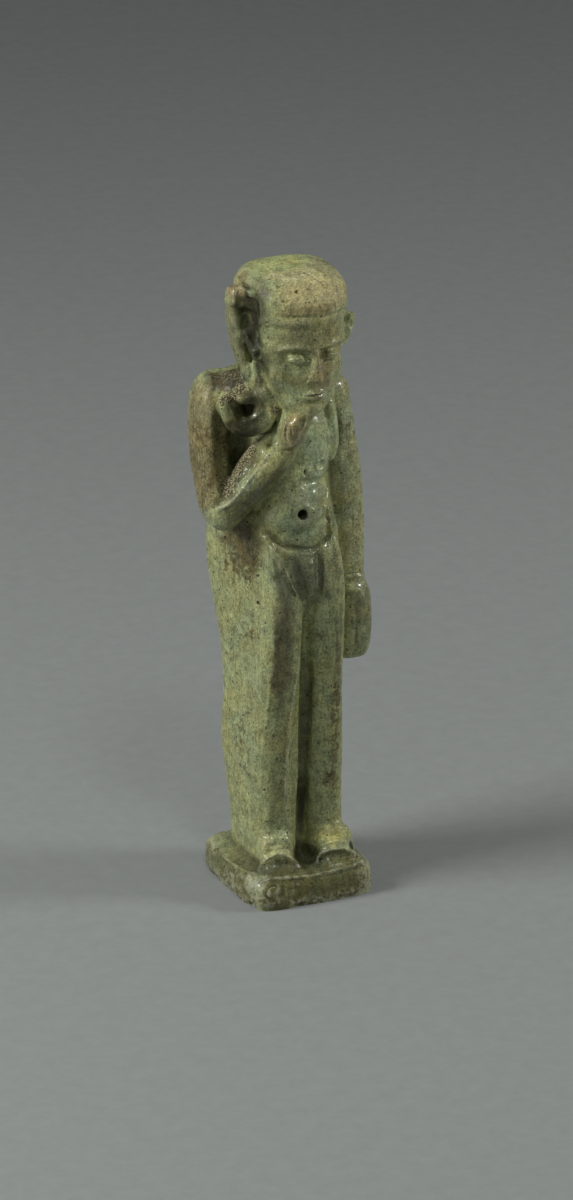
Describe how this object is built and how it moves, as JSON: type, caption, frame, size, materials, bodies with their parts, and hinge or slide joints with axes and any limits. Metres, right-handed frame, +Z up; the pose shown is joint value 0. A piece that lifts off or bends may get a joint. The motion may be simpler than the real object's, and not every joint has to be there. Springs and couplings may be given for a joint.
{
  "type": "amulet",
  "caption": "Small glazed figure amulet of a standing child with a sidelock, hand to mouth, on its own squarish plinth, with a back pillar.",
  "frame": {"origin": "middle of the bounding box at the level of the plinth's underside", "axes": "+Z up, the figure looks along -Y, its right side (bent arm, sidelock) is at -X"},
  "size_m": [0.0106, 0.009, 0.0385],
  "materials": {
    "faience": "satin, worn pale grey-green glaze with brown stains"
  },
  "bodies": {
    "root": {"amulet": "faience"}
  },
  "joints": []
}
